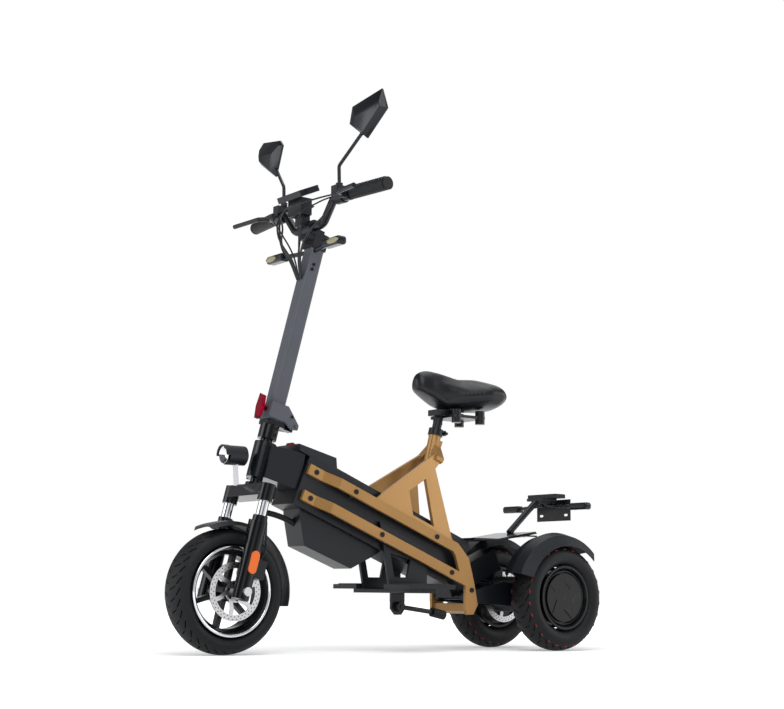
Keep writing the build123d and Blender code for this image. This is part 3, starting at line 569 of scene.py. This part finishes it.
# Control cables and hoses: rubber-jacketed lines from the levers and switches,
# looped round the display's holder and led into the stem's front.
cable_rubber = moulded("cable_jacket_rubber", "#1b1c1f", 0.45, 0.0008, 0.2)


def cable(name, points, radius, body):
    """A round line that runs smoothly through its points."""
    line = bpy.data.curves.new(name, "CURVE")
    line.dimensions = "3D"
    line.bevel_depth = radius
    line.bevel_resolution = 3
    line.use_fill_caps = True
    spline = line.splines.new("BEZIER")
    spline.bezier_points.add(len(points) - 1)
    for knot, point in zip(spline.bezier_points, points):
        knot.co = point
        knot.handle_left_type = "AUTO"
        knot.handle_right_type = "AUTO"
    made = bpy.data.objects.new(name, line)
    scene.collection.objects.link(made)
    bpy.ops.object.select_all(action="DESELECT")
    made.select_set(True)
    bpy.context.view_layer.objects.active = made
    bpy.ops.object.convert(target="MESH")
    return finished(bpy.context.object, name, body, cable_rubber)


grommet = on_steer(21, 0, 814)
CABLES = [
    # name, radius, places from the middle of the bar clamp
    ("right_hose", 0.003, [(8, -128, 62), (20, -112, 10), (26, -86, -44), (29, -44, -84)]),
    ("left_hose", 0.003, [(8, 126, 62), (26, 104, 12), (42, 66, -22), (40, 22, -70)]),
    (
        "cross_cable", 0.0022,
        [(4, 134, 66), (46, 104, 52), (66, 50, 44), (66, -20, 40), (54, -70, 0), (36, -30, -82)],
    ),
    (
        "throttle_cable", 0.0022,
        [(6, -140, 66), (40, -124, 40), (62, -84, 30), (58, -44, -14), (38, -14, -78)],
    ),
    ("switch_cable", 0.0024, [(0, -118, 66), (30, -92, 40), (48, -54, 2), (44, -62, -36), (34, -26, -86)]),
    ("display_lead", 0.0026, [(-4, 10, 58), (34, 18, 30), (44, 24, -30), (38, 8, -84)]),
    ("left_switch_lead", 0.002, [(2, 118, 64), (34, 84, 46), (58, 40, 18), (50, 26, -40), (38, 10, -86)]),
]
for name, radius, route in CABLES:
    points = [at(-227.4 + x, y, 1078.8 + z) for x, y, z in route]
    cable(name, points + [grommet + Vector((0, points[-1].y * 0.25, 0))], radius, "stem")

# Brake hose: from the caliper up behind the left leg and into the crown.
cable(
    "front_brake_hose",
    [
        on_steer(-28, 56, 72), on_steer(-38, 57, 110), on_steer(-30, 56, 152),
        on_steer(-22, 50, 196), on_steer(-16, 40, 236),
    ],
    0.0022, "fork",
)

# Corrugated conduit: the main loom, in a ribbed sleeve, between the fork's
# crown and the belly case.
bpy.ops.mesh.primitive_torus_add(
    major_segments=24, minor_segments=8, major_radius=0.0056, minor_radius=0.0018
)
rib = bpy.context.object
loom_start, loom_knee, loom_end = at(-104, 0, 344), at(-160, 0, 338), at(-196, 0, 318)
ribs = []
for number in range(30):
    share = number / 29
    a, b, c = (1 - share) ** 2, 2 * share * (1 - share), share ** 2
    spot = loom_start * a + loom_knee * b + loom_end * c
    heading = (loom_knee - loom_start) * (1 - share) + (loom_end - loom_knee) * share
    ribs.append(facing(spot, heading))
loom = copies_of(rib, ribs)
loom.name = "loom_conduit"
loom.data.materials.clear()
loom.data.materials.append(cable_rubber)
bpy.ops.object.shade_smooth_by_angle(angle=math.radians(35))
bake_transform(loom)

# Mirror shells: glossy moulded housings cut in flat facets, with a broad upper
# facet and steeper ones round the rest. They replace the plain CAD shells.
MIRRORS = [
    # side, middle of the glass, corners outward and up with each edge's facet angle
    (1, at(-262, 205, 1340), [(-64, -12, 24), (-54, 32, 20), (55, 55, 50), (74, 0, 50), (2, -63, 55)]),
    (
        -1, at(-262, -228, 1342),
        [(-60, 5, 30), (-44, 22, 20), (60, 42, 50), (79, 25, 50), (70, -20, 50), (-22, -75, 24)],
    ),
]
mirror_yaw = math.radians(6.9)
mirror_halves = []
for side, middle, corners in MIRRORS:
    ahead = Vector((math.cos(mirror_yaw), side * math.sin(mirror_yaw), 0))
    outward = Vector((-math.sin(mirror_yaw), side * math.cos(mirror_yaw), 0))
    bpy.ops.mesh.primitive_cube_add(size=0.3, location=middle)
    shell = bpy.context.object
    bpy.ops.object.transform_apply(location=True)
    planes = [(middle + ahead * 0.0016, -ahead), (middle + ahead * 0.021, ahead)]
    for here, after in zip(corners, corners[1:] + corners[:1]):
        spot = middle + outward * (here[0] / 1000) + Vector((0, 0, here[1] / 1000))
        run = outward * (after[0] - here[0]) + Vector((0, 0, after[1] - here[1]))
        square = run.cross(ahead).normalized()
        if square.dot(spot - middle) < 0:
            square = -square
        tilt = math.radians(here[2])
        planes.append((spot, square))
        planes.append((spot + ahead * 0.007, square * math.sin(tilt) + ahead * math.cos(tilt)))
    bpy.ops.object.mode_set(mode="EDIT")
    for plane_place, plane_normal in planes:
        bpy.ops.mesh.select_all(action="SELECT")
        bpy.ops.mesh.bisect(plane_co=plane_place, plane_no=plane_normal, use_fill=True, clear_outer=True)
    bpy.ops.mesh.select_all(action="SELECT")
    bpy.ops.mesh.normals_make_consistent(inside=False)
    bpy.ops.mesh.bevel(offset=0.0012, segments=2, affect="EDGES")
    bpy.ops.object.mode_set(mode="OBJECT")
    mirror_halves.append(shell)
bpy.ops.object.select_all(action="DESELECT")
for shell in mirror_halves:
    shell.select_set(True)
bpy.context.view_layer.objects.active = mirror_halves[0]
bpy.ops.object.join()
facet_shells = finished(mirror_halves[0], "mirror_facets", "stem", gloss_abs)
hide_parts("mirror_shells")

# Headlight: a metallised bowl with a bright diode at its bottom, pressed into
# the lamp's front.
bpy.ops.mesh.primitive_cone_add(
    vertices=48, radius1=0.0215, radius2=0.006, depth=0.014, end_fill_type="NOTHING"
)
bowl = bpy.context.object
bowl.data.transform(facing(at(4, 0, 478), (-1, 0, 0)))
thick = bowl.modifiers.new("wall", "SOLIDIFY")
thick.thickness = 0.0008
bpy.ops.object.modifier_apply(modifier="wall")
finished(bowl, "headlight_bowl", "fork", hard_chrome)
diode_glow = bpy.data.materials.new("warm_white_diode")
diode_glow.use_nodes = True
glow_shader = diode_glow.node_tree.nodes["Principled BSDF"]
glow_place = add_node(diode_glow.node_tree, "ShaderNodeTexCoord", {}, {})
glow_cells = add_node(
    diode_glow.node_tree, "ShaderNodeTexVoronoi", {"Scale": 500.0}, {"Vector": glow_place.outputs["Object"]}
)
diode_glow.node_tree.links.new(glow_cells.outputs["Distance"], glow_shader.inputs["Roughness"])
glow_shader.inputs["Base Color"].default_value = linear("#f2f0e4")
glow_shader.inputs["Emission Color"].default_value = linear("#f7f6ee")
glow_shader.inputs["Emission Strength"].default_value = 0.5
bpy.ops.mesh.primitive_uv_sphere_add(segments=24, ring_count=12, radius=0.008)
diode = bpy.context.object
diode.data.transform(Matrix.Translation(at(1, 0, 478)) @ Matrix.Diagonal((0.6, 1.0, 1.0, 1.0)))
finished(diode, "headlight_diode", "fork", diode_glow)

# Lamp lenses: moulded polycarbonate over the turn signals, front and rear, and
# the tail lamp.
red_lens = moulded("red_polycarbonate", "#a3121a", 0.2, 0.002, 0.35)
pale_lens = moulded("smoked_amber_polycarbonate", "#8a8468", 0.12, 0.003, 0.05)
front_signals = (at(-201, 141, 1018), at(-201, -141, 1018))
rear_signals = (at(-1067, 136, 393.5), at(-1067, -136, 393.5))
LENSES = [
    # name, body, finish, middles, half sizes
    ("front_signal_lenses", "stem", pale_lens, front_signals, (0.004, 0.025, 0.0075)),
    ("rear_signal_lenses", "frame", pale_lens, rear_signals, (0.004, 0.028, 0.008)),
    ("tail_lens", "frame", red_lens, (at(-1079, 0, 424),), (0.004, 0.052, 0.0045)),
]
for name, body, finish, middles, halves in LENSES:
    bpy.ops.mesh.primitive_uv_sphere_add(segments=32, ring_count=16, radius=1.0)
    lens = bpy.context.object
    lens.data.transform(Matrix.Diagonal((*halves, 1.0)))
    finished(copies_of(lens, [Matrix.Translation(m) for m in middles]), name, body, finish)

# Grip ribs: raised rubber bands moulded round both grips, in one with them.
bpy.ops.mesh.primitive_torus_add(
    major_segments=36, minor_segments=8, major_radius=0.0166, minor_radius=0.0011
)
band = bpy.context.object
bands = []
for side in (-1, 1):
    run = Vector((-26, side * 186, 2)).normalized()
    for number in range(12):
        y = 188 + number * 9.4
        share = (y - 112) / 186
        bands.append(facing(at(-227.4 - 26 * share, side * y, 1140 + 2 * share), run))
finished(copies_of(band, bands), "grip_bands", "stem", tyre_rubber)

# Foot board ribs: rubber strips let into the top of each board.
bpy.ops.mesh.primitive_cylinder_add(vertices=16, radius=0.0022, depth=0.128)
strip = bpy.context.object
strips = []
for side in (-1, 1):
    for number in range(8):
        strips.append(facing(at(-510, side * (70 + number * 12), 172), forward_axis))
finished(copies_of(strip, strips), "board_strips", "frame", cable_rubber)

# Cover latch: a red anodised pull at the front of the deck lid's hump.
bpy.ops.mesh.primitive_cube_add(size=1.0)
pull = bpy.context.object
pull.data.transform(Matrix.Diagonal((0.02, 0.03, 0.008, 1.0)))
bpy.ops.object.mode_set(mode="EDIT")
bpy.ops.mesh.select_all(action="SELECT")
bpy.ops.mesh.bevel(offset=0.0025, segments=3, affect="EDGES")
bpy.ops.object.mode_set(mode="OBJECT")
pull.data.transform(Matrix.Translation(on_body(-30, 66, 0)) @ Matrix.Rotation(-0.5, 4, "Y"))
finished(pull, "cover_latch", "frame", red_anodised)

# Saddle cushion: foam under stretched synthetic leather. Its rings run from the
# raised nose to the broad rear, and the cover is blown up over them as cloth.
SADDLE_RINGS = [
    # x, half width, crown height, height of the widest line
    (-576, 12, 722, 706), (-586, 25, 738, 700), (-612, 36, 745, 698), (-655, 48, 735, 690),
    (-705, 76, 722, 684), (-765, 104, 726, 685), (-815, 103, 724, 685), (-840, 80, 712, 684),
    (-850, 46, 698, 683),
]
bpy.ops.mesh.primitive_circle_add(vertices=32, radius=1.0, rotation=(0, math.pi / 2, 0))
seat = bpy.context.object
bpy.ops.object.transform_apply(rotation=True)
bpy.ops.object.mode_set(mode="EDIT")
bpy.ops.mesh.select_mode(type="VERT")
bpy.ops.mesh.select_all(action="SELECT")
before = (1.0, 1.0, Vector((0, 0, 0)))
for number, (x, wide, crown, middle) in enumerate(SADDLE_RINGS):
    if number:
        bpy.ops.mesh.extrude_region_move(TRANSFORM_OT_translate={"value": (0, 0, 0)})
    half_wide, half_tall, centre = wide / 1000, (crown - middle) / 1000, at(x, 0, middle)
    bpy.ops.transform.resize(
        value=(1.0, half_wide / before[0], half_tall / before[1]), center_override=before[2]
    )
    bpy.ops.transform.translate(value=centre - before[2])
    before = (half_wide, half_tall, centre)
bpy.ops.mesh.select_all(action="SELECT")
bpy.ops.mesh.fill_holes(sides=0)
for plane_place, plane_normal in ((at(-700, 0, 643), (0, 0, -1)), (at(-690, 0, 645), (0.37, 0, -0.93))):
    bpy.ops.mesh.select_all(action="SELECT")
    bpy.ops.mesh.bisect(plane_co=plane_place, plane_no=plane_normal, use_fill=True, clear_outer=True)
bpy.ops.mesh.select_all(action="SELECT")
bpy.ops.mesh.normals_make_consistent(inside=False)
bpy.ops.object.mode_set(mode="OBJECT")
remesh = seat.modifiers.new("remesh", "REMESH")
remesh.mode = "VOXEL"
remesh.voxel_size = 0.005
bpy.ops.object.modifier_apply(modifier="remesh")
rounding = seat.modifiers.new("rounding", "SMOOTH")
rounding.factor = 0.5
rounding.iterations = 10
bpy.ops.object.modifier_apply(modifier="rounding")
# The cover stretches at most this many metres off the foam.
farthest = 0.006
foam = [vertex.co.copy() for vertex in seat.data.vertices]
stretch = seat.modifiers.new("stretch", "CLOTH")
stretch.settings.use_pressure = True
stretch.settings.uniform_pressure_force = 4.0
stretch.settings.effector_weights.gravity = 0.0
stretch.settings.tension_stiffness = 40.0
stretch.settings.compression_stiffness = 40.0
stretch.settings.bending_stiffness = 20.0
stretch.point_cache.frame_start = 1
stretch.point_cache.frame_end = 20
for frame_number in range(1, 21):
    scene.frame_set(frame_number)
bpy.ops.object.modifier_apply(modifier="stretch")
scene.frame_set(1)
for vertex, rest in zip(seat.data.vertices, foam):
    moved = vertex.co - rest
    if moved.length > farthest:
        vertex.co = rest + moved.normalized() * farthest
settled = seat.modifiers.new("settled", "SMOOTH")
settled.factor = 0.5
settled.iterations = 5
bpy.ops.object.modifier_apply(modifier="settled")
smoother = seat.modifiers.new("smoother", "SUBSURF")
smoother.levels = 1
bpy.ops.object.modifier_apply(modifier="smoother")
finished(seat, "saddle_cushion", "saddle_unit", saddle_leather)
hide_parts("saddle")
